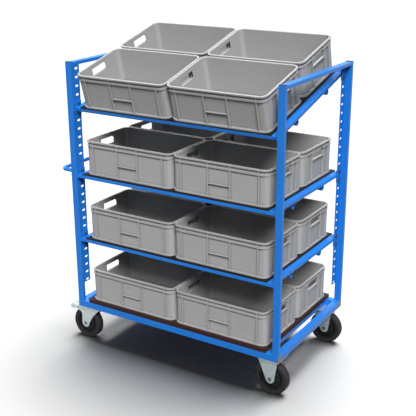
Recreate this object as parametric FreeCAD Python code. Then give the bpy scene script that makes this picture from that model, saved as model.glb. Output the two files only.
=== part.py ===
"""Order picking trolley: a tube frame on castors that carries moulded containers on four levels.

Millimetres. X runs along the trolley, from the push handle at the left to the fixed castors at the right.
Y runs from the picking side at the front to the rear, and Z is up. The pieces are laid out round the middle
of the frame, and the whole trolley is then moved so that the origin is the middle of its footprint.
"""
import FreeCAD, Part
import math
import os

# Containers, all alike
container_length = 600.0
container_depth = 400.0
container_height = 200.0
container_gap = 4.0
container_corner = 42.0
container_wall = 3.0
container_floor = 3.0
wall_inset = 9.0
wall_taper = 6.0
rim_height = 9.0
groove_height = 13.0
collar_height = 12.0
collar_inset = 2.0
foot_height = 9.0
post_depth = 68.0
post_inset = 4.0
rib_width = 6.0
end_rib_inset = 59.0
label_width = 138.0
label_ledge_height = 75.0
label_ledge_thickness = 5.0
label_recess = 1.6
hand_hole_width = 120.0
hand_hole_height = 42.0
hand_hole_rise = 8.0
grip_ledge_width = 154.0
grip_ledge_height = 8.0
corner_facets = 3

# Panels and their margins round the grid of containers
panel_end_margin = 11.0
panel_side_margin = 18.0
panel_thickness = 6.0
deck_thickness = 21.0

# Base frame
base_underside = 230.0
base_tube = 40.0
tube_wall = 2.0
rail_cap_thickness = 5.0

# Uprights, top rails and slotted strips
upright_width = 40.0
upright_depth = 20.0
upright_cap_thickness = 2.5
top_rail_height = 20.0
strip_thickness = 4.0
strip_width = 52.0
strip_foot_gap = 119.0
strip_margin = 13.0
strip_top_margin = 19.0
slot_length = 28.0
slot_height = 13.0
slot_pitch = 50.0
slot_count = 27
slot_from_upright = 27.0
slot_facets = 3

# Shelves: the slot that takes the upper bolt is counted up from the lowest one, which is slot 0
lower_shelf_slot = 6
middle_shelf_slot = 14
sloped_front_slot = 22
sloped_rear_slot = 26
sloped_slide = 14.0
shelf_tube_width = 40.0
shelf_tube_height = 20.0
panel_end_lap = 2.0
corner_plate_thickness = 4.0
corner_plate_over_bolt = 14.0
corner_plate_under_bolt = 12.0
corner_plate_cut = 22.0
bolt_over_panel = 8.0
support_tube_diameter = 33.7
support_tube_spacing = 376.0
support_tube_setback = 9.0

# Fasteners
bolt_diameter = 8.0
bolt_hole_clearance = 0.25
bolt_head_flats = 13.0
bolt_head_height = 5.3
nut_height = 6.5
washer_diameter = 24.0
washer_thickness = 2.0
bolt_end = 2.0
castor_bolt_end = 6.0

# Push handle
handle_diameter = 22.0
handle_reach = 80.0
handle_bend = 40.0
handle_drop = 639.0

# Castors
wheel_diameter = 200.0
tyre_width = 50.0
tread_width = 32.0
shoulder_drop = 8.0
tyre_edge_width = 46.0
hub_diameter = 148.0
hub_width = 40.0
hub_rim = 7.0
hub_step = 3.0
hub_web = 12.0
hub_disc_diameter = 108.0
hub_disc_width = 34.0
boss_diameter = 46.0
fork_gap = 60.0
fork_sheet = 4.0
boss_clearance = 0.5
axle_diameter = 12.0
axle_fit = 0.05
axle_head_diameter = 22.0
axle_head_height = 3.0
axle_socket_diameter = 10.0
axle_socket_depth = 2.5
leg_end_radius = 26.0
castor_plate_thickness = 5.0
castor_plate_margin = 18.0
castor_bolt_span_x = 92.0
castor_bolt_span_y = 86.0
fixed_leg_front = 45.0
fixed_leg_back = 80.0

# Swivel castors: fork, bearing, kingpin and brake pedal
swivel_trail = 46.0
bearing_diameter = 90.0
bearing_height = 12.0
bearing_gap = 0.3
kingpin_diameter = 16.0
kingpin_end = 5.0
kingpin_nut_diameter = 26.0
crown_thickness = 5.0
crown_reach = 52.0
swivel_leg_front = 70.0
swivel_leg_curve = 280.0
leg_fillet = 20.0
arm_radius = 17.5
arm_straight = 6.0
pedal_pin_diameter = 8.0
pedal_pin_end = 1.5
pedal_eye_radius = 7.0
pedal_nose_radius = 15.0
pedal_length = 52.0
pedal_fall = 2.0
pedal_side_gap = 0.3
pedal_sheet = 3.0

# Modelling value: how far a cut runs past the face that it goes through
overrun = 1.0

Vector = FreeCAD.Vector
ALONG_X = Vector(1, 0, 0)
ALONG_Y = Vector(0, 1, 0)
ALONG_Z = Vector(0, 0, 1)

# Overall sizes, built up from the containers outwards
panel_half_length = container_length + container_gap / 2 + panel_end_margin
half_width = container_depth + container_gap / 2 + panel_side_margin
shelf_half_length = panel_half_length - panel_end_lap + shelf_tube_width
upright_inner = shelf_half_length + corner_plate_thickness
half_length = upright_inner + upright_width
base_top = base_underside + base_tube
deck_top = base_top + deck_thickness
rail_inner = half_width - base_tube
upright_back = half_width - upright_depth
strip_edge = upright_back - strip_width
slot_y = upright_back - slot_from_upright
strip_foot = base_top + strip_foot_gap
top_rail_underside = strip_foot + strip_margin + (slot_count - 1) * slot_pitch + strip_top_margin
upright_top = top_rail_underside + top_rail_height
bolt_radius = bolt_diameter / 2
bolt_hole_radius = bolt_radius + bolt_hole_clearance

# Castor places
end_rail_centre = half_length - base_tube / 2
cross_member_centre = end_rail_centre - castor_bolt_span_x
castor_x = end_rail_centre - castor_bolt_span_x / 2
castor_y = half_width - base_tube / 2 - castor_bolt_span_y / 2
castor_plate_underside = base_underside - castor_plate_thickness
wheel_radius = wheel_diameter / 2
swivel_axle_x = -castor_x - swivel_trail
bearing_underside = castor_plate_underside - bearing_height
fork_top = bearing_underside - bearing_gap
swivel_leg_back = leg_end_radius + swivel_trail
pedal_pin_x = -castor_x - swivel_leg_back - leg_fillet - arm_straight
pedal_pin_z = fork_top - arm_radius
leg_outer = fork_gap / 2 + fork_sheet

# Shelf heights
def slot_z(slot):
    """Height of a slot, counted up from the lowest one."""
    return strip_foot + strip_margin + slot * slot_pitch


lower_shelf_top = slot_z(lower_shelf_slot) - bolt_over_panel
middle_shelf_top = slot_z(middle_shelf_slot) - bolt_over_panel
sloped_shelf_middle = (slot_z(sloped_front_slot) + slot_z(sloped_rear_slot)) / 2 - bolt_over_panel
slope_rise = slot_z(sloped_rear_slot) - slot_z(sloped_front_slot)
slope_angle = math.degrees(math.atan2(slope_rise, 2 * slot_y))

LEFT_RIGHT = {"left": -1, "right": 1}
FRONT_REAR = {"front": -1, "rear": 1}
CORNERS = [(side, row) for row in FRONT_REAR.values() for side in LEFT_RIGHT.values()]


# Plain shapes

def block(x0, x1, y0, y1, z0, z1):
    """A box between two limits on each axis, given in either order."""
    low = Vector(min(x0, x1), min(y0, y1), min(z0, z1))
    return Part.makeBox(abs(x1 - x0), abs(y1 - y0), abs(z1 - z0), low)


def tube(axis, x0, x1, y0, y1, z0, z1):
    """A rectangular tube with open ends along one of the axes."""
    limits = [sorted(pair) for pair in ((x0, x1), (y0, y1), (z0, z1))]
    bore = []
    for direction, (low, high) in zip("xyz", limits):
        step = -overrun if direction == axis else tube_wall
        bore += [low + step, high - step]
    return block(x0, x1, y0, y1, z0, z1).cut(block(*bore))


def rod(radius, start, end):
    """A round bar between two points."""
    return Part.makeCylinder(radius, start.distanceToPoint(end), start, end - start)


def hexagon(flats, start, end):
    """A hexagon bar between two points, with the given width across its flats."""
    length = start.distanceToPoint(end)
    reach = flats / math.sqrt(3)
    bar = polygon(arc_points(0, 0, reach, 0, 300, 5)).extrude(ALONG_Z * length)
    bar.Placement = FreeCAD.Placement(start, FreeCAD.Rotation(ALONG_Z, end - start))
    return bar


def polygon(points):
    """A flat face inside a closed line of points."""
    return Part.Face(Part.makePolygon(points + points[:1]))


def frustum(low, high):
    """A solid between two level outlines with as many points, whose matching edges are parallel."""
    sides = zip(low, low[1:] + low[:1], high[1:] + high[:1], high)
    faces = [polygon(list(corners)) for corners in sides]
    return Part.makeSolid(Part.makeShell(faces + [polygon(low[::-1]), polygon(high)]))


def arc_points(x, y, radius, first, last, facets):
    """Points along an arc, with both its ends, at angles in degrees."""
    angles = [math.radians(first + (last - first) * k / facets) for k in range(facets + 1)]
    return [Vector(x + radius * math.cos(a), y + radius * math.sin(a), 0) for a in angles]


def moved(shape, x=0, y=0, z=0):
    """A copy of a shape, moved."""
    copy = shape.copy()
    copy.translate(Vector(x, y, z))
    return copy


def on_slope(shape):
    """A copy of a shape that was made on the level at height zero, laid on the sloping shelf."""
    copy = shape.copy()
    copy.rotate(Vector(0, 0, 0), ALONG_X, slope_angle)
    copy.translate(Vector(0, 0, sloped_shelf_middle))
    return copy


# Containers

def draft(z):
    """How far the walls are drawn in at a height, because a container narrows towards its foot."""
    return wall_taper * (1 - z / container_height)


def container_outline(inset_x, inset_y, z):
    """Points round the container's outline at a height, drawn in by an inset on each axis."""
    radius = container_corner - max(inset_x, inset_y)
    x = container_length / 2 - inset_x - radius
    y = container_depth / 2 - inset_y - radius
    points = []
    for k, (sx, sy) in enumerate(((1, 1), (-1, 1), (-1, -1), (1, -1))):
        points += arc_points(sx * x, sy * y, radius, 90 * k, 90 * k + 90, corner_facets)
    return [point + ALONG_Z * z for point in points]


def container_band(inset, z0, z1):
    """A rounded slab with upright sides, as the rim, the collar and the foot have."""
    return polygon(container_outline(inset, inset, z0)).extrude(ALONG_Z * (z1 - z0))


def container_walls(inset, z0, z1):
    """A rounded slab whose sides have the walls' draft."""
    return frustum(*[container_outline(inset + draft(z), inset + draft(z), z) for z in (z0, z1)])


def container_posts(z1):
    """The four corner posts, proud of the short walls and level with the long ones."""
    posts = frustum(*[container_outline(post_inset, wall_inset + draft(z), z) for z in (0, z1)])
    half = container_depth / 2 - post_depth
    reach = container_length / 2
    return posts.cut(block(-reach, reach, -half, half, -overrun, z1 + overrun))


def container():
    """A moulded container: rim and collar bands, ribbed walls with draft, corner posts, foot, two label
    pockets that are sunk into the long walls under a ledge, and two hand holes with a grip ledge."""
    end = container_length / 2
    side = container_depth / 2
    rim_low = container_height - rim_height
    collar_top = rim_low - groove_height
    collar_low = collar_top - collar_height
    hole_high = collar_low + hand_hole_rise
    hole_low = hole_high - hand_hole_height
    grip_low = hole_low - grip_ledge_height
    half_grip = grip_ledge_width / 2
    half_label = label_width / 2
    ledge_low = label_ledge_height
    ledge_top = ledge_low + label_ledge_thickness
    rib_face = side - collar_inset
    root = side - wall_inset - wall_taper - container_wall
    end_root = end - wall_inset - wall_taper - container_wall
    layers = [
        container_band(0, 0, foot_height),
        container_walls(wall_inset, 0, container_height),
        container_posts(collar_low),
        container_band(collar_inset, collar_low, collar_top),
        container_band(0, rim_low, container_height),
    ]
    for way in (-1, 1):
        for x in (end_rib_inset - end, -half_label, half_label, end - end_rib_inset):
            low, high = x - rib_width / 2, x + rib_width / 2
            layers.append(block(low, high, way * root, way * rib_face, 0, rim_low))
        layers.append(block(-half_label, half_label, way * root, way * rib_face, ledge_low, ledge_top))
        layers.append(block(way * end_root, way * end, -half_grip, half_grip, grip_low, hole_low))
        for y in (-half_grip + rib_width / 2, half_grip - rib_width / 2):
            low, high = y - rib_width / 2, y + rib_width / 2
            layers.append(block(way * end_root, way * (end - collar_inset), low, high, 0, rim_low))
    body = layers[0].multiFuse(layers[1:])
    cavity = container_walls(wall_inset + container_wall, container_floor, container_height + overrun)
    pocket_half = half_label - rib_width / 2
    pocket_face = side - wall_inset - draft(ledge_low) - label_recess
    pockets = []
    for way in (-1, 1):
        y0, y1 = way * pocket_face, way * (side + overrun)
        pockets.append(block(-pocket_half, pocket_half, y0, y1, foot_height, ledge_low))
    half_hole = hand_hole_width / 2
    holes = block(-end - overrun, end + overrun, -half_hole, half_hole, hole_low, hole_high)
    return body.cut([cavity, holes] + pockets).removeSplitter()


# Base frame

def castor_bolt_places(side, row):
    """Where the four bolts of one castor plate stand."""
    dx, dy = castor_bolt_span_x / 2, castor_bolt_span_y / 2
    return [(side * castor_x + i * dx, row * castor_y + j * dy) for i in (-1, 1) for j in (-1, 1)]


def castor_bolt_holes():
    """The holes that the castor bolts need in the base, as one shape."""
    low = castor_plate_underside - overrun
    high = base_underside + tube_wall + overrun
    places = [place for corner in CORNERS for place in castor_bolt_places(*corner)]
    holes = [rod(bolt_hole_radius, Vector(x, y, low), Vector(x, y, high)) for x, y in places]
    return Part.makeCompound(holes)


def base_long_rail(row):
    """One of the two rails that run the length of the base, without its end caps."""
    length = half_length - rail_cap_thickness
    rail = tube("x", -length, length, row * rail_inner, row * half_width, base_underside, base_top)
    return rail.cut(castor_bolt_holes())


def base_cross_tube(x):
    """A tube across the base between the two long rails, with its middle at x."""
    half = base_tube / 2
    cross = tube("y", x - half, x + half, -rail_inner, rail_inner, base_underside, base_top)
    return cross.cut(castor_bolt_holes())


def base_rail_cap(side, row):
    """The plastic cap on one end of a long rail."""
    x0, x1 = side * (half_length - rail_cap_thickness), side * half_length
    return block(x0, x1, row * rail_inner, row * half_width, base_underside, base_top)


def panel(thickness):
    """A panel with its upper face at height zero."""
    return block(-panel_half_length, panel_half_length, -half_width, half_width, -thickness, 0)


# Uprights and strips

def upright(side, row):
    """One corner tube, standing on a long rail."""
    x0, x1 = side * upright_inner, side * half_length
    return tube("z", x0, x1, row * upright_back, row * half_width, base_top, upright_top)


def upright_cap(side, row):
    """The plastic cap on top of an upright."""
    x0, x1 = side * upright_inner, side * half_length
    top = upright_top + upright_cap_thickness
    return block(x0, x1, row * upright_back, row * half_width, upright_top, top)


def top_rail(side):
    """The flat tube that joins the front and rear upright at one end."""
    x0, x1 = side * upright_inner, side * half_length
    return tube("y", x0, x1, -upright_back, upright_back, top_rail_underside, upright_top)


def slot_cutter(y, z):
    """A round-ended slot along Y, as the bar that cuts it out of a strip on either side."""
    radius = slot_height / 2
    run = slot_length / 2 - radius
    outline = arc_points(run, 0, radius, -90, 90, slot_facets)
    outline += arc_points(-run, 0, radius, 90, 270, slot_facets)
    reach = upright_inner + strip_thickness + overrun
    points = [Vector(-reach, y + p.x, z + p.y) for p in outline]
    return polygon(points).extrude(ALONG_X * 2 * reach)


def slotted_strip(side, row):
    """The strip behind an upright, with its column of slots."""
    x0, x1 = side * upright_inner, side * (upright_inner + strip_thickness)
    strip = block(x0, x1, row * strip_edge, row * upright_back, strip_foot, top_rail_underside)
    slots = [slot_cutter(row * slot_y, slot_z(k)) for k in range(slot_count)]
    return strip.cut(Part.makeCompound(slots))


# Shelves

def shelf_tubes():
    """The four flat tubes of a shelf frame, with the panel's upper face at height zero."""
    high = -panel_thickness
    low = high - shelf_tube_height
    rail_edge = half_width - shelf_tube_width
    inner = shelf_half_length - shelf_tube_width
    tubes = [tube("x", -shelf_half_length, shelf_half_length, row * rail_edge, row * half_width, low, high)
             for row in FRONT_REAR.values()]
    tubes += [tube("y", side * inner, side * shelf_half_length, -rail_edge, rail_edge, low, high)
              for side in LEFT_RIGHT.values()]
    return tubes


def support_tubes():
    """The pair of round tubes under a shelf frame, with the panel's upper face at height zero."""
    radius = support_tube_diameter / 2
    z = -panel_thickness - shelf_tube_height - radius
    reach = shelf_half_length - support_tube_setback
    pair = []
    for y in (-support_tube_spacing / 2, support_tube_spacing / 2):
        outer = rod(radius, Vector(-reach, y, z), Vector(reach, y, z))
        bore = rod(radius - tube_wall, Vector(-reach - overrun, y, z), Vector(reach + overrun, y, z))
        pair.append(outer.cut(bore))
    return pair


def corner_plate(side, row, slot):
    """The upright plate that joins a shelf frame to a strip, with its two bolt holes."""
    high = slot_z(slot) + corner_plate_over_bolt
    low = slot_z(slot - 1) - corner_plate_under_bolt
    x = side * upright_inner
    outline = [
        Vector(x, row * strip_edge, high),
        Vector(x, row * half_width, high),
        Vector(x, row * half_width, low + corner_plate_cut),
        Vector(x, row * (half_width - corner_plate_cut), low),
        Vector(x, row * strip_edge, low),
    ]
    plate = polygon(outline).extrude(ALONG_X * -side * corner_plate_thickness)
    outer, inner = side * (upright_inner + overrun), side * (shelf_half_length - overrun)
    y = row * slot_y
    for z in (slot_z(slot), slot_z(slot - 1)):
        plate = plate.cut(rod(bolt_hole_radius, Vector(inner, y, z), Vector(outer, y, z)))
    return plate


def shelf_bolt(side, row, slot):
    """A hexagon bolt through a strip and a corner plate, with its washer and nut, as one piece."""
    y, z = row * slot_y, slot_z(slot)
    strip_face = upright_inner + strip_thickness
    outer = strip_face + washer_thickness
    inner = shelf_half_length
    places = {
        "head": Vector(side * (outer + bolt_head_height), y, z),
        "outer": Vector(side * outer, y, z),
        "strip": Vector(side * strip_face, y, z),
        "inner": Vector(side * inner, y, z),
        "nut": Vector(side * (inner - nut_height), y, z),
        "tip": Vector(side * (inner - nut_height - bolt_end), y, z),
    }
    head = hexagon(bolt_head_flats, places["outer"], places["head"])
    nut = hexagon(bolt_head_flats, places["inner"], places["nut"])
    washer = rod(washer_diameter / 2, places["strip"], places["outer"])
    return head.multiFuse([washer, rod(bolt_radius, places["outer"], places["tip"]), nut])


# Push handle

def push_handle():
    """A round tube bent into a flat U, from the outer faces of the two left uprights."""
    z = upright_top - handle_drop
    y = half_width - upright_depth / 2
    x0 = -half_length
    x1 = x0 - handle_reach
    bend = handle_bend
    tuck = bend * (1 - math.sqrt(0.5))
    path = []
    for row in (-1, 1):
        arm_end = Vector(x1 + bend, row * y, z)
        bar_end = Vector(x1, row * (y - bend), z)
        middle = Vector(x1 + tuck, row * (y - tuck), z)
        arm = Part.LineSegment(Vector(x0, row * y, z), arm_end).toShape()
        path += [arm, Part.Arc(arm_end, middle, bar_end).toShape()]
    path.append(Part.LineSegment(Vector(x1, bend - y, z), Vector(x1, y - bend, z)).toShape())
    wire = Part.Wire(Part.__sortEdges__(path))
    start = Vector(x0, wire.OrderedVertexes[0].Point.y, z)
    radii = (handle_diameter / 2, handle_diameter / 2 - tube_wall)
    rings = [Part.Wire(Part.makeCircle(radius, start, ALONG_X)) for radius in radii]
    outer, bore = [wire.makePipeShell([ring], True, False) for ring in rings]
    return outer.cut(bore)


# Castors, made round the vertical through the castor's own middle plane

def castor_plate():
    """The top plate of a castor with its four bolt holes, under the base, round the castor's middle."""
    half_x = castor_bolt_span_x / 2 + castor_plate_margin
    half_y = castor_bolt_span_y / 2 + castor_plate_margin
    plate = block(-half_x, half_x, -half_y, half_y, castor_plate_underside, base_underside)
    holes = castor_bolt_holes()
    holes.translate(Vector(-castor_x, -castor_y, 0))
    return plate.cut(holes)


def castor_bolt(x, y):
    """A hexagon bolt that holds a castor plate, from below."""
    seat = Vector(x, y, castor_plate_underside)
    head = hexagon(bolt_head_flats, seat - ALONG_Z * bolt_head_height, seat)
    tip = Vector(x, y, base_underside + tube_wall + castor_bolt_end)
    return head.fuse(rod(bolt_radius, seat, tip))


def straight(start, end):
    """A straight edge."""
    return Part.LineSegment(start, end).toShape()


def curved(start, middle, end):
    """A round edge through three points."""
    return Part.Arc(start, middle, end).toShape()


def towards(centre, angle, reach):
    """The point at an angle and a distance from a centre, in the XZ plane."""
    return centre + Vector(math.cos(angle), 0, math.sin(angle)) * reach


def tangent_point(corner, centre, radius, way):
    """Where the line from a corner touches a circle, in the XZ plane, on the side that way gives."""
    span = corner - centre
    return towards(centre, math.atan2(span.z, span.x) + way * math.acos(radius / span.Length), radius)


def leg_sheet(outline, axle):
    """A fork's leg: a sheet with the given outline, which has the hole for the axle."""
    leg = Part.Face(Part.Wire(outline)).extrude(ALONG_Y * fork_sheet)
    return leg.cut(cross_pin(axle_diameter / 2, axle.x, axle.z, leg_outer + overrun))


def fixed_leg(y):
    """A fixed bracket's leg, from a straight top edge to a round end about the axle."""
    axle = Vector(0, y, wheel_radius)
    foot = axle - ALONG_Z * leg_end_radius
    top_back = Vector(-fixed_leg_back, y, castor_plate_underside)
    top_front = Vector(fixed_leg_front, y, castor_plate_underside)
    touch_back = tangent_point(top_back, axle, leg_end_radius, 1)
    touch_front = tangent_point(top_front, axle, leg_end_radius, -1)
    outline = [straight(top_front, top_back), straight(top_back, touch_back)]
    outline += [curved(touch_back, foot, touch_front), straight(touch_front, top_front)]
    return leg_sheet(outline, axle)


def swivel_leg(y):
    """A swivel fork's leg: a round foot about the axle, a hollow curve up its front edge, and an arm that
    reaches back to the brake pin with a fillet under it."""
    axle = Vector(-swivel_trail, y, wheel_radius)
    pin = Vector(pedal_pin_x + castor_x, y, pedal_pin_z)
    top_front = Vector(swivel_leg_front, y, fork_top)
    foot = axle - ALONG_Z * leg_end_radius
    back = axle - ALONG_X * leg_end_radius
    arm_high, arm_low = pin + ALONG_Z * arm_radius, pin - ALONG_Z * arm_radius
    hollow = Vector(back.x - leg_fillet, y, arm_low.z - leg_fillet)
    hollow_high, hollow_back = hollow + ALONG_Z * leg_fillet, hollow + ALONG_X * leg_fillet
    span = top_front - axle
    far = swivel_leg_curve + leg_end_radius
    swing = math.acos((far ** 2 + span.Length ** 2 - swivel_leg_curve ** 2) / (2 * far * span.Length))
    turn = math.atan2(span.z, span.x) - swing
    centre = towards(axle, turn, far)
    touch = towards(axle, turn, leg_end_radius)
    chord = (touch + top_front) / 2 - centre
    middle = centre + chord * (swivel_leg_curve / chord.Length)
    outline = [
        straight(top_front, arm_high),
        curved(arm_high, pin - ALONG_X * arm_radius, arm_low),
        straight(arm_low, hollow_high),
        curved(hollow_high, towards(hollow, math.pi / 4, leg_fillet), hollow_back),
        straight(hollow_back, back),
        curved(back, foot, touch),
        curved(touch, middle, top_front),
    ]
    return leg_sheet(outline, axle)


def cross_pin(radius, x, z, reach):
    """A round bar along Y through the castor's middle plane."""
    return rod(radius, Vector(x, -reach, z), Vector(x, reach, z))


def both_legs(leg):
    """Both legs of a fork, either side of the wheel."""
    return [leg(y) for y in (-leg_outer, fork_gap / 2)]


def fixed_bracket():
    """A fixed castor's bracket: its top plate with two tapered legs."""
    return castor_plate().multiFuse(both_legs(fixed_leg)).removeSplitter()


def swivel_top_plate():
    """A swivel castor's top plate with its kingpin and the collar that carries the fork."""
    nut_top = fork_top - crown_thickness - bearing_gap
    tip = nut_top - kingpin_end
    kingpin = rod(kingpin_diameter / 2, Vector(0, 0, tip), Vector(0, 0, base_underside))
    nut = rod(kingpin_nut_diameter / 2, Vector(0, 0, tip), Vector(0, 0, nut_top))
    return castor_plate().multiFuse([kingpin, nut]).removeSplitter()


def swivel_bearing():
    """The ring of the swivel bearing, between the top plate and the fork."""
    low, high = Vector(0, 0, bearing_underside), Vector(0, 0, castor_plate_underside)
    return rod(bearing_diameter / 2, low, high).cut(rod(kingpin_diameter / 2, low, high))


def swivel_fork():
    """A swivel castor's fork: a crown on the kingpin and two legs that trail to the axle."""
    crown_low = fork_top - crown_thickness
    crown = block(-crown_reach, swivel_leg_front, -leg_outer, leg_outer, crown_low, fork_top)
    fork = crown.multiFuse(both_legs(swivel_leg))
    bore_radius = kingpin_diameter / 2 + axle_fit
    bore = rod(bore_radius, Vector(0, 0, crown_low - overrun), Vector(0, 0, fork_top + overrun))
    pedal_hole = cross_pin(pedal_pin_diameter / 2, pedal_pin_x + castor_x, pedal_pin_z, leg_outer + overrun)
    return fork.cut(bore).cut(pedal_hole).removeSplitter()


def axle(axle_x):
    """A castor's axle with a low round head at each end, which has a socket in its middle."""
    shank = cross_pin(axle_diameter / 2, axle_x, wheel_radius, leg_outer)
    heads, sockets = [], []
    for way in (-1, 1):
        seat = Vector(axle_x, way * leg_outer, wheel_radius)
        face = seat + ALONG_Y * way * axle_head_height
        heads.append(rod(axle_head_diameter / 2, seat, face))
        sockets.append(rod(axle_socket_diameter / 2, face - ALONG_Y * way * axle_socket_depth, face))
    return shank.multiFuse(heads).cut(sockets)


def pedal_pin():
    """The pin that the brake pedal turns on."""
    return cross_pin(pedal_pin_diameter / 2, pedal_pin_x + castor_x, pedal_pin_z, leg_outer + pedal_pin_end)


def belt(eye, eye_radius, nose, nose_radius):
    """A flat face round two circles in the XZ plane and between the lines that touch both."""
    span = nose - eye
    turn = math.atan2(span.z, span.x)
    lean = math.acos((eye_radius - nose_radius) / span.Length)
    ends = [towards(eye, turn + lean, eye_radius), towards(nose, turn + lean, nose_radius)]
    ends += [towards(nose, turn - lean, nose_radius), towards(eye, turn - lean, eye_radius)]
    outline = [
        straight(ends[0], ends[1]),
        curved(ends[1], towards(nose, turn, nose_radius), ends[2]),
        straight(ends[2], ends[3]),
        curved(ends[3], towards(eye, turn + math.pi, eye_radius), ends[0]),
    ]
    return Part.Face(Part.Wire(outline))


def brake_pedal():
    """A pressed pedal: a channel, open below, with a round nose and an eye on the pin in each cheek."""
    half = fork_gap / 2 - pedal_side_gap
    inner = half - pedal_sheet
    eye = Vector(pedal_pin_x + castor_x, -half, pedal_pin_z)
    nose = eye - Vector(pedal_length, 0, pedal_fall)
    pressing = belt(eye, pedal_eye_radius, nose, pedal_nose_radius).extrude(ALONG_Y * 2 * half)
    eye_inside, nose_inside = pedal_eye_radius - pedal_sheet, pedal_nose_radius - pedal_sheet
    cheek = ALONG_Y * pedal_sheet
    hollow = belt(eye + cheek, eye_inside, nose + cheek, nose_inside).extrude(ALONG_Y * 2 * inner)
    low = nose.z - pedal_nose_radius - overrun
    front = eye.x + pedal_eye_radius + overrun
    mouth = block(nose.x - nose_inside, front, -inner, inner, low, nose.z)
    throat = block(eye.x, front, -inner, inner, low, eye.z + eye_inside)
    bore = cross_pin(pedal_pin_diameter / 2 + axle_fit, eye.x, eye.z, half + overrun)
    return pressing.cut([hollow, mouth, throat, bore]).removeSplitter()


def turned(half_profile):
    """A solid turned about Y from half its section: (radius, y) pairs, mirrored across the middle."""
    points = [Vector(r, y, 0) for r, y in half_profile]
    points += [Vector(r, -y, 0) for r, y in reversed(half_profile)]
    return polygon(points).revolve(Vector(0, 0, 0), ALONG_Y, 360)


def tyre():
    """A solid tyre with a flat tread and sloping shoulders."""
    half_profile = [
        (hub_diameter / 2, tyre_edge_width / 2),
        (wheel_radius - shoulder_drop, tyre_width / 2),
        (wheel_radius, tread_width / 2),
    ]
    return turned(half_profile)


def hub():
    """A moulded hub: a rim inside the tyre, a ring groove, a raised disc and a boss that runs on the axle."""
    boss_half = fork_gap / 2 - boss_clearance
    half_profile = [
        (axle_diameter / 2 + axle_fit, boss_half),
        (boss_diameter / 2, boss_half),
        (boss_diameter / 2, hub_disc_width / 2),
        (hub_disc_diameter / 2 - hub_step, hub_disc_width / 2),
        (hub_disc_diameter / 2, hub_web / 2),
        (hub_diameter / 2 - hub_rim - hub_step, hub_web / 2),
        (hub_diameter / 2 - hub_rim, hub_width / 2),
        (hub_diameter / 2, hub_width / 2),
    ]
    return turned(half_profile)


# The trolley, as named pieces that are each one solid or a group of like solids

def base_pieces():
    """The base frame, its caps and the deck."""
    return {
        "base_front_rail": [base_long_rail(-1)],
        "base_rear_rail": [base_long_rail(1)],
        "base_end_rails": [base_cross_tube(side * end_rail_centre) for side in (-1, 1)],
        "base_cross_members": [base_cross_tube(side * cross_member_centre) for side in (-1, 0, 1)],
        "base_rail_caps": [base_rail_cap(*corner) for corner in CORNERS],
        "deck_panel": [moved(panel(deck_thickness), z=deck_top)],
    }


def upright_pieces():
    """The uprights with their caps, strips and top rails, and the push handle."""
    pieces = {f"{row}_{side}_upright": [upright(LEFT_RIGHT[side], FRONT_REAR[row])]
              for row in FRONT_REAR for side in LEFT_RIGHT}
    pieces["upright_caps"] = [upright_cap(*corner) for corner in CORNERS]
    pieces["slotted_strips"] = [slotted_strip(*corner) for corner in CORNERS]
    pieces["top_rails"] = [top_rail(side) for side in LEFT_RIGHT.values()]
    pieces["push_handle"] = [push_handle()]
    return pieces


def shelf_pieces():
    """Two level shelves and the sloping one, with the bolts that hold them."""
    slots = {
        "lower": {-1: lower_shelf_slot, 1: lower_shelf_slot},
        "middle": {-1: middle_shelf_slot, 1: middle_shelf_slot},
        "sloped": {-1: sloped_front_slot, 1: sloped_rear_slot},
    }
    pieces, bolts = {}, []
    for shelf, row_slots in slots.items():
        plates = [corner_plate(side, row, row_slots[row]) for side, row in CORNERS]
        pieces[f"{shelf}_shelf_frame"] = [on_shelf(shelf, piece) for piece in shelf_tubes()] + plates
        pieces[f"{shelf}_shelf_panel"] = [on_shelf(shelf, panel(panel_thickness))]
        pieces[f"{shelf}_shelf_tubes"] = [on_shelf(shelf, piece) for piece in support_tubes()]
        bolts += [shelf_bolt(side, row, row_slots[row] - k) for side, row in CORNERS for k in (0, 1)]
    pieces["shelf_bolts"] = bolts
    return pieces


def on_shelf(shelf, piece):
    """A piece made at height zero, set on the named shelf or on the deck."""
    if shelf == "sloped":
        return on_slope(piece)
    heights = {"deck": deck_top, "lower": lower_shelf_top, "middle": middle_shelf_top}
    return moved(piece, z=heights[shelf])


def castor_pieces():
    """Swivel castors under the left end and fixed ones under the right end."""
    pieces = {
        "swivel_top_plates": [moved(swivel_top_plate(), -castor_x, row * castor_y) for row in (-1, 1)],
        "swivel_bearings": [moved(swivel_bearing(), -castor_x, row * castor_y) for row in (-1, 1)],
        "fixed_axles": [moved(axle(0), castor_x, row * castor_y) for row in (-1, 1)],
        "castor_bolts": [castor_bolt(x, y) for corner in CORNERS for x, y in castor_bolt_places(*corner)],
    }
    for name, row in FRONT_REAR.items():
        y = row * castor_y
        pieces[f"{name}_fixed_bracket"] = [moved(fixed_bracket(), castor_x, y)]
        pieces[f"{name}_swivel_fork"] = [moved(swivel_fork(), -castor_x, y)]
        pieces[f"{name}_fork_pins"] = [moved(pin, -castor_x, y) for pin in (axle(-swivel_trail), pedal_pin())]
        pieces[f"{name}_brake_pedal"] = [moved(brake_pedal(), -castor_x, y)]
        for side, x in (("left", swivel_axle_x), ("right", castor_x)):
            pieces[f"{name}_{side}_tyre"] = [moved(tyre(), x, y, wheel_radius)]
            pieces[f"{name}_{side}_hub"] = [moved(hub(), x, y, wheel_radius)]
    return pieces


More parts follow.
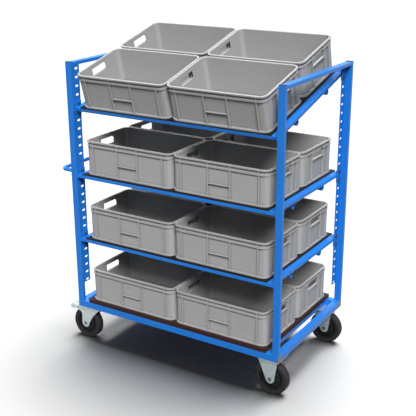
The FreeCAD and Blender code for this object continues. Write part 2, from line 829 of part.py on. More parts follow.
def container_pieces():
    """Two by two containers on the deck and on each shelf. On the slope the front pair has slid down."""
    step_x = (container_length + container_gap) / 2
    step_y = (container_depth + container_gap) / 2
    master = container()
    pieces = {}
    for shelf in ("deck", "lower", "middle", "sloped"):
        for row, way_y in FRONT_REAR.items():
            slide = sloped_slide if (shelf, row) == ("sloped", "front") else 0
            for side, way_x in LEFT_RIGHT.items():
                placed = moved(master, way_x * step_x, way_y * step_y - slide)
                pieces[f"{shelf}_container_{row}_{side}"] = [on_shelf(shelf, placed)]
    return pieces


trolley = {**base_pieces(), **upright_pieces(), **shelf_pieces(), **castor_pieces(), **container_pieces()}
everything = Part.makeCompound([solid for solids in trolley.values() for solid in solids])
outline = everything.optimalBoundingBox(False, False)
origin = Vector(outline.Center.x, outline.Center.y, outline.ZMin)

os.makedirs("parts", exist_ok=True)
for node, solids in trolley.items():
    shape = Part.makeCompound(solids) if len(solids) > 1 else solids[0]
    moved(shape, -origin.x, -origin.y, -origin.z).exportStep(f"parts/{node}.step")
print(len(trolley), "pieces,", f"{outline.XLength:.1f} x {outline.YLength:.1f} x {outline.ZLength:.1f} mm")
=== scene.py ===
"""Looks of an order picking trolley: finishes, softened edges, turned wheels, weld beads and a studio."""
import math

import bpy
import numpy as np
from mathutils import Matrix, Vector


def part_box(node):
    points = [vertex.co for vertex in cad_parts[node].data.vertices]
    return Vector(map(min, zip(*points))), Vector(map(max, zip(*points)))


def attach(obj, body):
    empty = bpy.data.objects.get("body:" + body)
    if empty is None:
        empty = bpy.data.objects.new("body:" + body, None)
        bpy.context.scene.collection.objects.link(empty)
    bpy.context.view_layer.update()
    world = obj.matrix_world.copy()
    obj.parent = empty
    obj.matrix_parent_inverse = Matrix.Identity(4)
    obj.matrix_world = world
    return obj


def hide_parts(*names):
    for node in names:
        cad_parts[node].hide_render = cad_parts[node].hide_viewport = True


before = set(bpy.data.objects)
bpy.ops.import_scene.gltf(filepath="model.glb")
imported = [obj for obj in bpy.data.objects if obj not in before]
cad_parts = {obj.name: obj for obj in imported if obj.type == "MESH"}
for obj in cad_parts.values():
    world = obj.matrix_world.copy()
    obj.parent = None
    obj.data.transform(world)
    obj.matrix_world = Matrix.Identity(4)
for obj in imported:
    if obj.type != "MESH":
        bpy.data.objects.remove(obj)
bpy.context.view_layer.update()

bl_info = {
    "name": "Order picking trolley",
    "version": (1, 0, 0),
    "blender": (4, 5, 0),
    "location": "3D View > Sidebar > Trolley",
    "description": "Finishes an order picking trolley with its containers and castors",
    "category": "Object",
}

MM = 0.001

# Parts of the names of the nodes
ROWS = ("front", "rear")
SIDES = ("left", "right")
CORNERS = tuple(f"{row}_{side}" for row in ROWS for side in SIDES)
SHELVES = ("lower", "middle", "sloped")
LEVELS = ("deck", *SHELVES)

# Modifiers: how near two points are one, and the bends between faces that are flat, facets or edges
JOIN_REACH = 0.01 * MM
FLAT_BEND = math.radians(0.5)
FACET_BEND = math.radians(20)
EDGE_BEND = math.radians(40)
FACET_SEGMENTS = 4

# Z of a normal above which a container's face is level, the share of level faces above which the edge
# between them is level too, and Z of a normal above which a board's surface is a face and no sawn edge
LEVEL_RISE = 0.8
LEVEL_SHARE = 0.99
BOARD_RISE = 0.5

# Tyre section: shares of the half width at the foot and the tread, of the radius at the shoulder, and of the
# tread's rounding at the shoulder, and the rounding of the foot
FOOT_WIDTH = 0.92
TREAD_WIDTH = 0.7
SHOULDER_RADIUS = 0.94
SHOULDER_ROUND = 0.9
FOOT_ROUND = 1.0 * MM

# Steps of the turned shapes: round the axle, and round each corner of a section
TURN_STEPS = 96
TYRE_STEPS = 7
HUB_STEPS = 4

# Weld beads: points on one ripple, points round the bead, and the share by which a ripple swells
RIPPLE_POINTS = 4
BEAD_SIDES = 8
RIPPLE_SWELL = 0.1

# Sockets of a Mix node that mixes colours: factor, first and second colour, and the result
FACTOR, FIRST, SECOND, RESULT = 0, 6, 7, 2

# Width of one band of a wave texture at scale 1
WAVE_BAND = 0.314

# Floor: half its side, the grey of the light that it returns, and the white that the camera sees
FLOOR_REACH = 40.0
FLOOR_RETURN = (0.15, 0.15, 0.15, 1)
FLOOR_SEEN = (1.66, 1.65, 1.62, 1)

# World: its colour, its strength as a dome of light, and its strength as the background
WHITE = (1, 1, 1, 1)
DOME_STRENGTH = 0.02
BACKGROUND_STRENGTH = 1.0

# Lamps: name, direction towards the lamp, strength, width in degrees, shows in gloss, lights the floor
LAMPS = (
    ("key_lamp", (0.00, 0.31, 0.95), 2.2, 44, True, True),
    ("fill_lamp", (0.42, -0.56, 0.68), 5.0, 26, True, False),
    ("rear_fill_lamp", (-0.55, 0.55, 0.35), 3.6, 40, False, False),
)

# Camera, fitted to the photograph: sensor and lens in millimetres, place from the middle of the deck, and
# turn in degrees
CAMERA_SENSOR = 36.0
CAMERA_LENS = 73.11
CAMERA_ASIDE = (2.50489, -4.04087)
CAMERA_HEIGHT = 2.52525
CAMERA_TURN = (70.804, 0.2208, 31.825)


def linear(code):
    """Linear red, green, blue and alpha of an sRGB hex colour."""
    srgb = np.array([int(code[k:k + 2], 16) for k in (1, 3, 5)]) / 255
    rgb = np.where(srgb <= 0.04045, srgb / 12.92, ((srgb + 0.055) / 1.055) ** 2.4)
    return (*rgb.tolist(), 1.0)


def size(name, description, millimetres):
    """A length that a user may change, kept in metres."""
    return bpy.props.FloatProperty(name=name, description=description, default=millimetres * MM,
                                   min=0.0, unit="LENGTH", subtype="DISTANCE")


def colour(name, description, code):
    """A colour that a user may change."""
    return bpy.props.FloatVectorProperty(name=name, description=description, size=4, subtype="COLOR",
                                         min=0.0, max=1.0, default=linear(code))


class TrolleySizes(bpy.types.PropertyGroup):
    """Small sizes of edges, beads and wheels."""
    tube_edge: size("Tube edge", "Rounding of the rolled edges of the steel tubes", 1.8)
    shelf_edge: size("Shelf edge", "Rounding of the edges of the shelf frames", 1.2)
    sheet_edge: size("Sheet edge", "Rounding of cut sheet, plate and fasteners", 0.5)
    board_edge: size("Board edge", "Rounding of the sawn edges of the boards", 0.6)
    container_edge: size("Container edge", "Rounding of the moulded container's edges", 0.9)
    facet_round: size("Facet rounding", "Width each side of a bend in a container's round corner", 5.0)
    cap_edge: size("Cap edge", "Rounding of the plastic caps", 0.8)
    weld_radius: size("Weld radius", "Radius of the weld beads", 2.2)
    weld_ripple: size("Weld ripple", "Length of one ripple of a weld bead", 4.0)
    tread_round: size("Tread rounding", "Length of the rounding at the tyre's shoulders", 4.5)
    hub_round: size("Hub rounding", "Length of the rounding at the hub's edges", 1.6)
    hub_bore: size("Hub bore", "Radius of the hole for the axle", 6.0)
    hub_boss: size("Hub boss", "Radius of the boss round the axle", 23.0)
    hub_disc: size("Hub disc", "Radius of the raised disc inside the ring groove", 54.0)
    hub_disc_half: size("Hub disc half width", "Half the width across the raised disc", 17.0)
    hub_web_half: size("Hub web half width", "Half the width across the floor of the ring groove", 6.0)
    hub_groove: size("Hub groove", "Radius of the outer wall of the ring groove", 65.5)
    hub_rim_half: size("Hub rim half width", "Half the width across the rim that carries the tyre", 20.0)


class TrolleyColours(bpy.types.PropertyGroup):
    """Colours of the finishes."""
    frame_blue: colour("Frame blue", "Powder coat of the steel frame", "#1E73CC")
    container_grey: colour("Container grey", "Moulded containers", "#9E9E9E")
    deck_brown: colour("Deck brown", "Film on the plywood deck", "#33201D")
    # Painted shade: the shelf film's own brown, darkened nearly to black for the shade that falls on the
    # boards under the containers
    shelf_brown_and_shade: colour("Shelf brown", "Film on the shelf boards", "#151211")
    zinc: colour("Zinc", "Zinc plate of the castors", "#C3CFD1")
    pin_steel: colour("Pin steel", "Dull plate of the axles, pins and bolts of the castors", "#6F787A")
    bolt_steel: colour("Bolt steel", "Dark plated bolts of the shelves", "#55595D")
    rubber: colour("Rubber", "Solid tyres", "#1B1B1B")
    hub_black: colour("Hub black", "Moulded hubs", "#0E0E0E")
    bearing_black: colour("Bearing black", "Swivel bearings", "#1E1E1E")
    cap_black: colour("Cap black", "Caps of the uprights", "#1C1C1E")
    cap_grey: colour("Cap grey", "Caps of the base rails", "#706B68")


# Nodes and materials

def feed(tree, target, inputs):
    """Sets a node's inputs: each socket takes a value, or a link from the output that feeds it."""
    for name, value in inputs.items():
        if isinstance(value, bpy.types.NodeSocket):
            tree.links.new(value, target.inputs[name])
        else:
            target.inputs[name].default_value = value


def node(tree, kind, inputs=None, **settings):
    """Adds a node with its settings and feeds its inputs."""
    made = tree.nodes.new(kind)
    for name, value in settings.items():
        setattr(made, name, value)
    feed(tree, made, inputs or {})
    return made


def begin(name):
    """A new material: itself, its node tree, the shader in it and the Object coordinates."""
    material = bpy.data.materials.new(name)
    material.use_nodes = True
    tree = material.node_tree
    place = node(tree, "ShaderNodeTexCoord").outputs["Object"]
    return material, tree, tree.nodes["Principled BSDF"], place


def per_mm(millimetres):
    """Texture scale at which one feature is that many millimetres across."""
    return 1.0 / (millimetres * MM)


def scaled(base, share):
    """Colour with the red, green and blue of base times a share."""
    return tuple(min(1.0, c * share) for c in base[:3]) + (1.0,)


def powder_coated_steel(base):
    """Powder coat baked on steel tube: even blue with a slight orange peel, so highlights are soft."""
    material, tree, shader, place = begin("powder_coated_steel")
    drift = node(tree, "ShaderNodeTexNoise", {"Vector": place, "Scale": per_mm(260), "Detail": 3.0})
    tone = node(tree, "ShaderNodeMix",
                {FACTOR: drift.outputs["Fac"], FIRST: base, SECOND: scaled(base, 0.90)}, data_type="RGBA")
    # Real orange peel is about 1 mm across; it is drawn at 5 mm so that it shows
    peel = node(tree, "ShaderNodeTexNoise", {"Vector": place, "Scale": per_mm(5), "Detail": 1.0})
    bump = node(tree, "ShaderNodeBump",
                {"Height": peel.outputs["Fac"], "Strength": 0.06, "Distance": 0.8 * MM})
    gloss = node(tree, "ShaderNodeMapRange",
                 {"Value": drift.outputs["Fac"], "To Min": 0.32, "To Max": 0.46})
    feed(tree, shader, {"Base Color": tone.outputs[RESULT], "Roughness": gloss.outputs["Result"],
                        "Normal": bump.outputs["Normal"], "Specular IOR Level": 0.25})
    return material


def moulded_polypropylene(base):
    """Grey polypropylene from an injection mould: matt and fine-grained, with faint flow clouds and painted
    shade in its grooves and inner corners.
    """
    material, tree, shader, place = begin("moulded_polypropylene")
    clouds = node(tree, "ShaderNodeTexNoise",
                  {"Vector": place, "Scale": per_mm(140), "Detail": 4.0, "Roughness": 0.6})
    cloud_tone = node(tree, "ShaderNodeMix",
                 {FACTOR: clouds.outputs["Fac"], FIRST: base, SECOND: scaled(base, 0.91)}, data_type="RGBA")
    # Painted shade: within 12 mm of an inner corner, in the grooves and beside the ribs, the colour darkens
    # towards a third of the grey
    painted_crease_shade = node(tree, "ShaderNodeAmbientOcclusion", {"Distance": 12 * MM}, only_local=True, samples=6)
    # The painted shade is mixed into the colour here, darkest where the corner closes in most
    tone = node(tree, "ShaderNodeMix",
                {FACTOR: painted_crease_shade.outputs["AO"], FIRST: scaled(base, 0.3), SECOND: cloud_tone.outputs[RESULT]},
                data_type="RGBA")
    # The spark-eroded grain is about 0.4 mm; it is drawn at 3 mm so that it shows
    grain = node(tree, "ShaderNodeTexNoise", {"Vector": place, "Scale": per_mm(3), "Detail": 2.0})
    bump = node(tree, "ShaderNodeBump",
                {"Height": grain.outputs["Fac"], "Strength": 0.10, "Distance": 0.6 * MM})
    gloss = node(tree, "ShaderNodeMapRange",
                 {"Value": clouds.outputs["Fac"], "To Min": 0.42, "To Max": 0.58})
    feed(tree, shader, {"Base Color": tone.outputs[RESULT], "Roughness": gloss.outputs["Result"],
                        "Normal": bump.outputs["Normal"], "Specular IOR Level": 0.3})
    return material


def film_faced_board(name, base, ply, mesh):
    """Plywood with a phenolic film: a fine wire-mesh print on its faces, and sawn edges that show the plies.
    A ply and a mesh of the print are that many millimetres."""
    material, tree, shader, place = begin(name)
    drift = node(tree, "ShaderNodeTexNoise", {"Vector": place, "Scale": per_mm(90), "Detail": 5.0})
    face = node(tree, "ShaderNodeMix",
                {FACTOR: drift.outputs["Fac"], FIRST: base, SECOND: scaled(base, 0.72)}, data_type="RGBA")
    plies = node(tree, "ShaderNodeTexWave",
                 {"Vector": place, "Scale": WAVE_BAND * per_mm(ply), "Distortion": 0.6}, bands_direction="Z")
    edge = node(tree, "ShaderNodeMix",
                {FACTOR: plies.outputs["Fac"], FIRST: base, SECOND: scaled(base, 0.55)}, data_type="RGBA")
    normal = node(tree, "ShaderNodeNewGeometry").outputs["Normal"]
    rise = node(tree, "ShaderNodeSeparateXYZ", {0: normal}).outputs["Z"]
    height = node(tree, "ShaderNodeMath", {0: rise}, operation="ABSOLUTE").outputs[0]
    level = node(tree, "ShaderNodeMath", {0: height, 1: BOARD_RISE}, operation="GREATER_THAN").outputs[0]
    tone = node(tree, "ShaderNodeMix",
                {FACTOR: level, FIRST: edge.outputs[RESULT], SECOND: face.outputs[RESULT]}, data_type="RGBA")
    cells = node(tree, "ShaderNodeTexVoronoi", {"Vector": place, "Scale": per_mm(mesh), "Randomness": 0.1})
    bump = node(tree, "ShaderNodeBump",
                {"Height": cells.outputs["Distance"], "Strength": 0.25, "Distance": 0.5 * MM})
    gloss = node(tree, "ShaderNodeMapRange",
                 {"Value": drift.outputs["Fac"], "To Min": 0.5, "To Max": 0.7})
    feed(tree, shader, {"Base Color": tone.outputs[RESULT], "Roughness": gloss.outputs["Result"],
                        "Normal": bump.outputs["Normal"], "IOR": 1.55, "Specular IOR Level": 0.12})
    return material


def zinc_plated_steel(name, base, spangle, low, high):
    """Zinc plate on pressed steel: a pale metal with a faint crystal spangle and uneven gloss. A crystal is
    that many millimetres, and the roughness runs from low to high."""
    material, tree, shader, place = begin(name)
    # The crystals of a thin plate are under 1 mm; they are drawn coarser so that they show
    crystals = node(tree, "ShaderNodeTexVoronoi", {"Vector": place, "Scale": per_mm(spangle)})
    pick = node(tree, "ShaderNodeSeparateColor", {0: crystals.outputs["Color"]}).outputs[0]
    tone = node(tree, "ShaderNodeMix",
                {FACTOR: pick, FIRST: base, SECOND: scaled(base, 0.84)}, data_type="RGBA")
    film = node(tree, "ShaderNodeTexNoise", {"Vector": place, "Scale": per_mm(25), "Detail": 4.0})
    bump = node(tree, "ShaderNodeBump",
                {"Height": film.outputs["Fac"], "Strength": 0.06, "Distance": 1.0 * MM})
    gloss = node(tree, "ShaderNodeMapRange",
                 {"Value": film.outputs["Fac"], "To Min": low, "To Max": high})
    feed(tree, shader, {"Base Color": tone.outputs[RESULT], "Roughness": gloss.outputs["Result"],
                        "Normal": bump.outputs["Normal"], "Metallic": 0.75})
    return material


def dark_finish(name, base, grain, low, high):
    """Dark plastic or rubber from a mould, or blacked steel: matt, with a fine grain and a little dust in
    its colour. The grain is that many millimetres, and the roughness runs from low to high."""
    material, tree, shader, place = begin(name)
    dust = node(tree, "ShaderNodeTexNoise",
                {"Vector": place, "Scale": per_mm(40), "Detail": 6.0, "Roughness": 0.65})
    tone = node(tree, "ShaderNodeMix",
                {FACTOR: dust.outputs["Fac"], FIRST: base, SECOND: scaled(base, 1.35)}, data_type="RGBA")
    # The real grain is about 0.3 mm; it is drawn coarser so that it shows
    skin = node(tree, "ShaderNodeTexNoise", {"Vector": place, "Scale": per_mm(grain), "Detail": 2.0})
    bump = node(tree, "ShaderNodeBump",
                {"Height": skin.outputs["Fac"], "Strength": 0.15, "Distance": 0.6 * MM})
    gloss = node(tree, "ShaderNodeMapRange",
                 {"Value": dust.outputs["Fac"], "To Min": low, "To Max": high})
    feed(tree, shader, {"Base Color": tone.outputs[RESULT], "Roughness": gloss.outputs["Result"],
                        "Normal": bump.outputs["Normal"], "Specular IOR Level": 0.25})
    return material


# CAD nodes: finish and softened edges

def mesh_nodes(name, steps):
    """Node group for a modifier: steps adds the nodes that change the mesh between its input and output."""
    tree = bpy.data.node_groups.new(name, "GeometryNodeTree")
    tree.interface.new_socket("Geometry", in_out="INPUT", socket_type="NodeSocketGeometry")
    tree.interface.new_socket("Geometry", in_out="OUTPUT", socket_type="NodeSocketGeometry")
    mesh = node(tree, "NodeGroupInput").outputs[0]
    node(tree, "NodeGroupOutput", {0: steps(tree, mesh)})
    return tree


def level_cuts(tree, mesh):
    """Marks the edges inside faces that lie level or nearly so."""
    normal = node(tree, "GeometryNodeInputNormal").outputs[0]
    rise = node(tree, "ShaderNodeSeparateXYZ", {0: normal}).outputs["Z"]
    height = node(tree, "ShaderNodeMath", {0: rise}, operation="ABSOLUTE").outputs[0]
    level = node(tree, "ShaderNodeMath", {0: height, 1: LEVEL_RISE}, operation="GREATER_THAN").outputs[0]
    share = node(tree, "GeometryNodeFieldOnDomain", {0: level}, data_type="FLOAT", domain="FACE").outputs[0]
    inside = node(tree, "ShaderNodeMath", {0: share, 1: LEVEL_SHARE}, operation="GREATER_THAN").outputs[0]
    return node(tree, "GeometryNodeStoreNamedAttribute",
                {"Geometry": mesh, "Name": "sharp_edge", "Value": inside},
                data_type="BOOLEAN", domain="EDGE").outputs[0]


def facet_bends(tree, mesh):
    """Marks the edges between the facets of a round corner, which bend less than sharp ones, for a bevel."""
    bend = node(tree, "GeometryNodeInputMeshEdgeAngle").outputs["Unsigned Angle"]
    low = node(tree, "ShaderNodeMath", {0: bend, 1: FACET_BEND}, operation="GREATER_THAN").outputs[0]
    high = node(tree, "ShaderNodeMath", {0: bend, 1: EDGE_BEND}, operation="LESS_THAN").outputs[0]
    both = node(tree, "ShaderNodeMath", {0: low, 1: high}, operation="MULTIPLY").outputs[0]
    return node(tree, "GeometryNodeStoreNamedAttribute",
                {"Geometry": mesh, "Name": "bevel_weight_edge", "Value": both},
                data_type="FLOAT", domain="EDGE").outputs[0]


def join_triangles(piece):
    """Adds a modifier that joins the loose triangles of a CAD node."""
    piece.modifiers.new("Join triangles", "WELD").merge_threshold = JOIN_REACH


def round_facets(pieces, width):
    """Turns the flat facets of round corners into arcs by rounding each bend between two facets. Level faces
    keep their triangles, because most of them are rings."""
    level = mesh_nodes("Level cuts", level_cuts)
    bends = mesh_nodes("Facet bends", facet_bends)
    for piece in pieces:
        join_triangles(piece)
        piece.modifiers.new("Mark level faces", "NODES").node_group = level
        flat = piece.modifiers.new("Join flat faces", "DECIMATE")
        flat.decimate_type = "DISSOLVE"
        flat.angle_limit = FLAT_BEND
        flat.delimit = {"SHARP"}
        piece.modifiers.new("Mark facets", "NODES").node_group = bends
        bevel = piece.modifiers.new("Round facets", "BEVEL")
        bevel.limit_method = "WEIGHT"
        bevel.width = width
        bevel.segments = FACET_SEGMENTS
        bevel.use_clamp_overlap = False
        piece.modifiers.new("Cut faces", "TRIANGULATE")


def soften(piece, width, segments):
    """Joins the loose triangles of a CAD node, rounds its sharp edges and evens its shading, by modifiers.
    The bevel keeps its full width, because a node's shortest edge would otherwise narrow it everywhere."""
    piece.data.shade_smooth()
    join_triangles(piece)
    bevel = piece.modifiers.new("Round edges", "BEVEL")
    bevel.limit_method = "ANGLE"
    bevel.angle_limit = EDGE_BEND
    bevel.width = width
    bevel.segments = segments
    bevel.use_clamp_overlap = False
    bevel.loop_slide = False
    bevel.miter_outer = "MITER_ARC"
    piece.modifiers.new("Even shading", "WEIGHTED_NORMAL")


def dress(names, material, width, segments=2):
    """Gives CAD nodes a material and softened edges."""
    for name in names:
        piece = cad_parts[name]
        piece.data.materials.clear()
        piece.data.materials.append(material)
        soften(piece, width, segments)


# New pieces as surfaces on a grid

def add_piece(name, points, faces, body, slot, material, *stands_for):
    """Adds a smooth mesh at the origin that rides on a body, in place of the CAD nodes it stands for."""
    mesh = bpy.data.meshes.new(name)
    mesh.from_pydata(points.reshape(-1, 3).tolist(), [], faces.tolist())
    mesh.shade_smooth()
    mesh.materials.append(material)
    mesh.validate()
    piece = bpy.data.objects.new(name, mesh)
    bpy.context.scene.collection.objects.link(piece)
    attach(piece, body)
    if stands_for:
        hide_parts(*stands_for)


def ring_faces(rows, columns):
    """Quads of a grid that closes on itself both ways, as point numbers."""
    i = np.arange(rows)[:, None]
    j = np.arange(columns)[None, :]
    i1, j1 = (i + 1) % rows, (j + 1) % columns
    quads = np.stack([i * columns + j, i1 * columns + j, i1 * columns + j1, i * columns + j1], axis=-1)
    return quads.reshape(-1, 4)


def rounded_outline(corners, cuts, steps):
    """Closed line through corners, each replaced by the parabola that starts and ends a cut away from it:
    (1-t)^2 A + 2 t (1-t) B + t^2 C for corner B and the two points A and C on its edges."""
    corners = np.asarray(corners, float)
    cuts = np.broadcast_to(np.asarray(cuts, float), len(corners))[:, None]
    before = np.roll(corners, 1, axis=0) - corners
    after = np.roll(corners, -1, axis=0) - corners
    a = corners + before / np.linalg.norm(before, axis=1, keepdims=True) * cuts
    c = corners + after / np.linalg.norm(after, axis=1, keepdims=True) * cuts
    t = np.linspace(0, 1, steps)[None, :, None]
    line = (1 - t) ** 2 * a[:, None] + 2 * t * (1 - t) * corners[:, None] + t ** 2 * c[:, None]
    return line.reshape(-1, corners.shape[1])


def mirrored(half):
    """Closed section of a wheel: the images (r, -w) of the corners of one half, then its corners (r, w)."""
    return [(r, -w) for r, w in half] + half[::-1]


def turned(profile, centre, steps):
    """Surface of revolution about Y: x = r cos a, z = r sin a, y = w, for a profile's (r, w) and angle a."""
    angle = np.linspace(0, 2 * math.pi, steps, endpoint=False)[:, None]
    r, w = profile[None, :, 0], profile[None, :, 1]
    points = np.stack([r * np.cos(angle), w + 0 * angle, r * np.sin(angle)], axis=-1)
    return points + np.asarray(centre), ring_faces(steps, len(profile))


def bead(path, radius, ripple):
    """Tube along a closed path: path(s) + r(s) (cos p N + sin p B), where N points outward, B along the tube
    that is welded, and r(s) = r (1 + q cos(2 pi s / L)) swells by the share q at each ripple of length L."""
    step = np.roll(path, -1, axis=0) - path
    run = np.concatenate([[0.0], np.cumsum(np.linalg.norm(step, axis=1))[:-1]])
    ahead = np.roll(path, -1, axis=0) - np.roll(path, 1, axis=0)
    ahead /= np.linalg.norm(ahead, axis=1, keepdims=True)
    across = np.cross(ahead, path - path.mean(axis=0)).mean(axis=0)
    across /= np.linalg.norm(across)
    outward = np.cross(across[None, :], ahead)
    swell = radius * (1 + RIPPLE_SWELL * np.cos(2 * math.pi * run / ripple))
    p = np.linspace(0, 2 * math.pi, BEAD_SIDES, endpoint=False)[None, :, None]
    ring = np.cos(p) * outward[:, None] + np.sin(p) * across[None, None]
    return path[:, None] + swell[:, None, None] * ring, ring_faces(len(path), BEAD_SIDES)


def seam(low, high, pitch):
    """Points at most about a pitch apart round the foot of a standing tube with the box from low to high."""
    corners = np.array([(low[0], low[1], low[2]), (high[0], low[1], low[2]),
                        (high[0], high[1], low[2]), (low[0], high[1], low[2])])
    ends = np.roll(corners, -1, axis=0)
    count = int(np.linalg.norm(ends - corners, axis=1).max() / pitch)
    t = np.linspace(0, 1, count, endpoint=False)[None, :, None]
    return (corners[:, None] * (1 - t) + ends[:, None] * t).reshape(-1, 3)


# Studio

def empty_tree(owner):
    """Node tree of a material or a world, without its first nodes."""
    owner.use_nodes = True
    owner.node_tree.nodes.clear()
    return owner.node_tree


def first_rays(tree):
    """Output that is 1 for rays from the camera and for those that leave a glossy or clear surface."""
    path = node(tree, "ShaderNodeLightPath").outputs
    seen = node(tree, "ShaderNodeMath", {0: path["Is Camera Ray"], 1: path["Is Glossy Ray"]},
                operation="MAXIMUM").outputs[0]
    return node(tree, "ShaderNodeMath", {0: seen, 1: path["Is Transmission Ray"]},
                operation="MAXIMUM").outputs[0]


def pale_floor(scene):
    """Floor that is white for the camera where no shadow falls, and plain grey for the light it returns."""
    mesh = bpy.data.meshes.new("studio_floor")
    r = FLOOR_REACH
    mesh.from_pydata([(-r, -r, 0), (r, -r, 0), (r, r, 0), (-r, r, 0)], [], [(0, 1, 2, 3)])
    floor = bpy.data.objects.new("studio_floor", mesh)
    scene.collection.objects.link(floor)
    material = bpy.data.materials.new("pale_studio_floor")
    tree = empty_tree(material)
    plain = node(tree, "ShaderNodeBsdfDiffuse", {"Color": FLOOR_RETURN})
    seen = node(tree, "ShaderNodeBsdfDiffuse", {"Color": FLOOR_SEEN})
    both = node(tree, "ShaderNodeMixShader", {0: first_rays(tree), 1: plain.outputs[0], 2: seen.outputs[0]})
    node(tree, "ShaderNodeOutputMaterial", {"Surface": both.outputs[0]})
    mesh.materials.append(material)
    return floor


def white_world(scene):
    """World that is a soft dome of light, and plain white to the camera and in reflections."""
    scene.world = bpy.data.worlds.new("white_studio")
    tree = empty_tree(scene.world)
    dome = node(tree, "ShaderNodeBackground", {"Color": WHITE, "Strength": DOME_STRENGTH})
    white = node(tree, "ShaderNodeBackground", {"Color": WHITE, "Strength": BACKGROUND_STRENGTH})
    both = node(tree, "ShaderNodeMixShader", {0: first_rays(tree), 1: dome.outputs[0], 2: white.outputs[0]})
    node(tree, "ShaderNodeOutputWorld", {"Surface": both.outputs[0]})


def broad_lamps(scene, floor):
    """Three broad lamps: a key from above and a little behind, whose shadow the floor keeps, and two fills,
    at the front right and the rear left, that are shielded from the floor."""
    shielded = bpy.data.collections.new("shielded_from_fill")
    shielded.objects.link(floor)
    shielded.collection_objects[0].light_linking.link_state = "EXCLUDE"
    for name, towards, strength, width, in_gloss, on_floor in LAMPS:
        light = bpy.data.lights.new(name, "SUN")
        light.energy = strength
        light.angle = math.radians(width)
        lamp = bpy.data.objects.new(name, light)
        scene.collection.objects.link(lamp)
        lamp.rotation_euler = Vector(towards).to_track_quat("Z", "Y").to_euler()
        lamp.visible_glossy = in_gloss
        if not on_floor:
            lamp.light_linking.receiver_collection = shielded


def photo_camera(scene):
    """Camera at the photograph's viewing angle, placed from the middle of the deck."""
    low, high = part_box("deck_panel")
    middle = (low + high) / 2
    data = bpy.data.cameras.new("photo_camera")
    data.sensor_width = CAMERA_SENSOR
    data.lens = CAMERA_LENS
    camera = bpy.data.objects.new("photo_camera", data)
    scene.collection.objects.link(camera)
    camera.location = (middle[0] + CAMERA_ASIDE[0], middle[1] + CAMERA_ASIDE[1], CAMERA_HEIGHT)
    camera.rotation_euler = np.radians(CAMERA_TURN)
    scene.camera = camera


# Operators

class TROLLEY_OT_steelwork(bpy.types.Operator):
    """Powder coats the frame, the shelves and the push handle"""
    bl_idname = "trolley.steelwork"
    bl_label = "Steelwork"

    def execute(self, context):
        sizes, colours = context.scene.trolley_sizes, context.scene.trolley_colours
        paint = powder_coated_steel(colours.frame_blue)
        tubes = ["base_front_rail", "base_rear_rail", "base_end_rails", "base_cross_members", "top_rails"]
        tubes += [f"{corner}_upright" for corner in CORNERS]
        dress(tubes, paint, sizes.tube_edge, segments=3)
        dress([f"{shelf}_shelf_frame" for shelf in SHELVES], paint, sizes.shelf_edge)
        dress(["slotted_strips", "push_handle"], paint, sizes.sheet_edge)
        dress([f"{shelf}_shelf_tubes" for shelf in SHELVES], paint, sizes.sheet_edge)
        return {"FINISHED"}


class TROLLEY_OT_welds(bpy.types.Operator):
    """Lays a weld bead round the foot of each upright"""
    bl_idname = "trolley.welds"
    bl_label = "Weld beads"

    def execute(self, context):
        sizes = context.scene.trolley_sizes
        radius, ripple = sizes.weld_radius, sizes.weld_ripple
        points, faces, count = [], [], 0
        for row in ROWS:
            for side in SIDES:
                low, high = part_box(f"{row}_{side}_upright")
                # The outer face is flush with the rail, so the bead there is ground back to it
                if row == "front":
                    low[1] += radius
                else:
                    high[1] -= radius
                tube, quads = bead(seam(low, high, ripple / RIPPLE_POINTS), radius, ripple)
                points.append(tube.reshape(-1, 3))
                faces.append(quads + count)
                count += len(points[-1])
        paint = bpy.data.materials["powder_coated_steel"]
        add_piece("weld_beads", np.concatenate(points), np.concatenate(faces), "frame", "blue_enamel", paint)
        return {"FINISHED"}


class TROLLEY_OT_boards(bpy.types.Operator):
    """Finishes the plywood deck and the thin shelf boards"""
    bl_idname = "trolley.boards"
    bl_label = "Boards"

    def execute(self, context):
        sizes, colours = context.scene.trolley_sizes, context.scene.trolley_colours
        deck = film_faced_board("film_faced_birch_plywood", colours.deck_brown, ply=1.4, mesh=5.0)
        dress(["deck_panel"], deck, sizes.board_edge)
        # The shelf boards' near-black colour is painted shade over the film's brown
        board = film_faced_board("film_faced_shelf_board", colours.shelf_brown_and_shade, ply=2.0, mesh=4.0)
        dress([f"{shelf}_shelf_panel" for shelf in SHELVES], board, sizes.board_edge)
        return {"FINISHED"}


class TROLLEY_OT_containers(bpy.types.Operator):
    """Finishes the sixteen moulded containers"""
    bl_idname = "trolley.containers"
    bl_label = "Containers"

    def execute(self, context):
        sizes, colours = context.scene.trolley_sizes, context.scene.trolley_colours
        names = [f"{level}_container_{corner}" for level in LEVELS for corner in CORNERS]
        round_facets([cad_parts[name] for name in names], sizes.facet_round)
        dress(names, moulded_polypropylene(colours.container_grey), sizes.container_edge)
        return {"FINISHED"}


class TROLLEY_OT_castors(bpy.types.Operator):
    """Plates the castor forks, brackets, pins and pedals, and blacks the swivel bearings"""
    bl_idname = "trolley.castors"
    bl_label = "Castors"

    def execute(self, context):
        sizes, colours = context.scene.trolley_sizes, context.scene.trolley_colours
        zinc = zinc_plated_steel("zinc_plated_steel", colours.zinc, spangle=9, low=0.34, high=0.52)
        names = ["swivel_top_plates"]
        for row in ROWS:
            names += [f"{row}_fixed_bracket", f"{row}_swivel_fork", f"{row}_brake_pedal"]
        dress(names, zinc, sizes.sheet_edge)
        pins = zinc_plated_steel("dull_plated_pin_steel", colours.pin_steel, spangle=4, low=0.3, high=0.45)
        dress(["fixed_axles", "castor_bolts", "front_fork_pins", "rear_fork_pins"], pins, sizes.sheet_edge)
        black = dark_finish("blacked_bearing_steel", colours.bearing_black, grain=2, low=0.3, high=0.5)
        dress(["swivel_bearings"], black, sizes.sheet_edge)
        return {"FINISHED"}


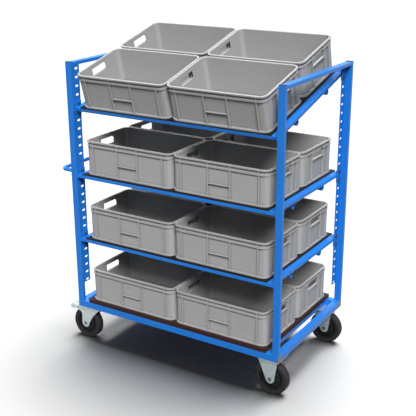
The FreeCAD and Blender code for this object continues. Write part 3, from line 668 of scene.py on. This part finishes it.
class TROLLEY_OT_wheels(bpy.types.Operator):
    """Turns the four tyres with dropped shoulders and the four hubs with a ring groove"""
    bl_idname = "trolley.wheels"
    bl_label = "Wheels"

    def execute(self, context):
        sizes, colours = context.scene.trolley_sizes, context.scene.trolley_colours
        rubber = dark_finish("solid_rubber", colours.rubber, grain=2.5, low=0.6, high=0.8)
        plastic = dark_finish("moulded_hub_polyamide", colours.hub_black, grain=2, low=0.42, high=0.6)
        for name in CORNERS:
            low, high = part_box(f"{name}_tyre")
            hub_low, hub_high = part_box(f"{name}_hub")
            centre = (low + high) / 2
            half, radius = (high[1] - low[1]) / 2, (high[2] - low[2]) / 2
            boss, inner = (hub_high[1] - hub_low[1]) / 2, (hub_high[2] - hub_low[2]) / 2
            tyre = [(inner, FOOT_WIDTH * half), (SHOULDER_RADIUS * radius, half),
                    (radius, TREAD_WIDTH * half)]
            cuts = [FOOT_ROUND, SHOULDER_ROUND * sizes.tread_round, sizes.tread_round]
            section = rounded_outline(mirrored(tyre), cuts + cuts[::-1], TYRE_STEPS)
            points, faces = turned(section, centre, TURN_STEPS)
            add_piece(f"{name}_solid_tyre", points, faces, f"{name}_wheel", "tyre_rubber", rubber,
                      f"{name}_tyre")
            hub = [(sizes.hub_bore, boss), (sizes.hub_boss, boss), (sizes.hub_boss, sizes.hub_disc_half),
                   (sizes.hub_disc, sizes.hub_disc_half), (sizes.hub_disc, sizes.hub_web_half),
                   (sizes.hub_groove, sizes.hub_web_half), (sizes.hub_groove, sizes.hub_rim_half),
                   (inner, sizes.hub_rim_half)]
            section = rounded_outline(mirrored(hub), sizes.hub_round, HUB_STEPS)
            points, faces = turned(section, centre, TURN_STEPS)
            add_piece(f"{name}_moulded_hub", points, faces, f"{name}_wheel", "hub_plastic", plastic,
                      f"{name}_hub")
        return {"FINISHED"}


class TROLLEY_OT_fittings(bpy.types.Operator):
    """Finishes the shelf bolts and the plastic caps"""
    bl_idname = "trolley.fittings"
    bl_label = "Bolts and caps"

    def execute(self, context):
        sizes, colours = context.scene.trolley_sizes, context.scene.trolley_colours
        steel = zinc_plated_steel("dark_plated_bolt_steel", colours.bolt_steel, spangle=3,
                                  low=0.36, high=0.5)
        dress(["shelf_bolts"], steel, sizes.sheet_edge)
        black = dark_finish("black_polyethylene_cap", colours.cap_black, grain=2, low=0.4, high=0.55)
        dress(["upright_caps"], black, sizes.cap_edge)
        grey = dark_finish("grey_polyethylene_cap", colours.cap_grey, grain=2, low=0.45, high=0.6)
        dress(["base_rail_caps"], grey, sizes.cap_edge)
        return {"FINISHED"}


class TROLLEY_OT_stage(bpy.types.Operator):
    """Sets up the floor, the soft studio light and the camera at the photograph's viewing angle"""
    bl_idname = "trolley.stage"
    bl_label = "Stage"

    def execute(self, context):
        scene = context.scene
        scene.view_settings.view_transform = "Standard"
        floor = pale_floor(scene)
        white_world(scene)
        broad_lamps(scene, floor)
        photo_camera(scene)
        return {"FINISHED"}


PIECES = (TROLLEY_OT_steelwork, TROLLEY_OT_welds, TROLLEY_OT_boards, TROLLEY_OT_containers,
          TROLLEY_OT_castors, TROLLEY_OT_wheels, TROLLEY_OT_fittings, TROLLEY_OT_stage)


class TROLLEY_PT_panel(bpy.types.Panel):
    """Lists the trolley's pieces, sizes and colours"""
    bl_idname = "TROLLEY_PT_panel"
    bl_label = "Trolley"
    bl_space_type = "VIEW_3D"
    bl_region_type = "UI"
    bl_category = "Trolley"

    def draw(self, context):
        for piece in PIECES:
            self.layout.operator(piece.bl_idname)
        for group in (context.scene.trolley_sizes, context.scene.trolley_colours):
            column = self.layout.column()
            for name in group.__annotations__:
                column.prop(group, name)


CLASSES = (TrolleySizes, TrolleyColours, *PIECES, TROLLEY_PT_panel)


def register():
    """Registers the classes and the two groups of settings."""
    for kind in CLASSES:
        bpy.utils.register_class(kind)
    bpy.types.Scene.trolley_sizes = bpy.props.PointerProperty(type=TrolleySizes)
    bpy.types.Scene.trolley_colours = bpy.props.PointerProperty(type=TrolleyColours)


def unregister():
    """Removes what register added."""
    del bpy.types.Scene.trolley_colours
    del bpy.types.Scene.trolley_sizes
    for kind in reversed(CLASSES):
        bpy.utils.unregister_class(kind)


def main():
    register()
    bpy.ops.trolley.steelwork()
    bpy.ops.trolley.welds()
    bpy.ops.trolley.boards()
    bpy.ops.trolley.containers()
    bpy.ops.trolley.castors()
    bpy.ops.trolley.wheels()
    bpy.ops.trolley.fittings()
    bpy.ops.trolley.stage()


if __name__ == "__main__":
    main()
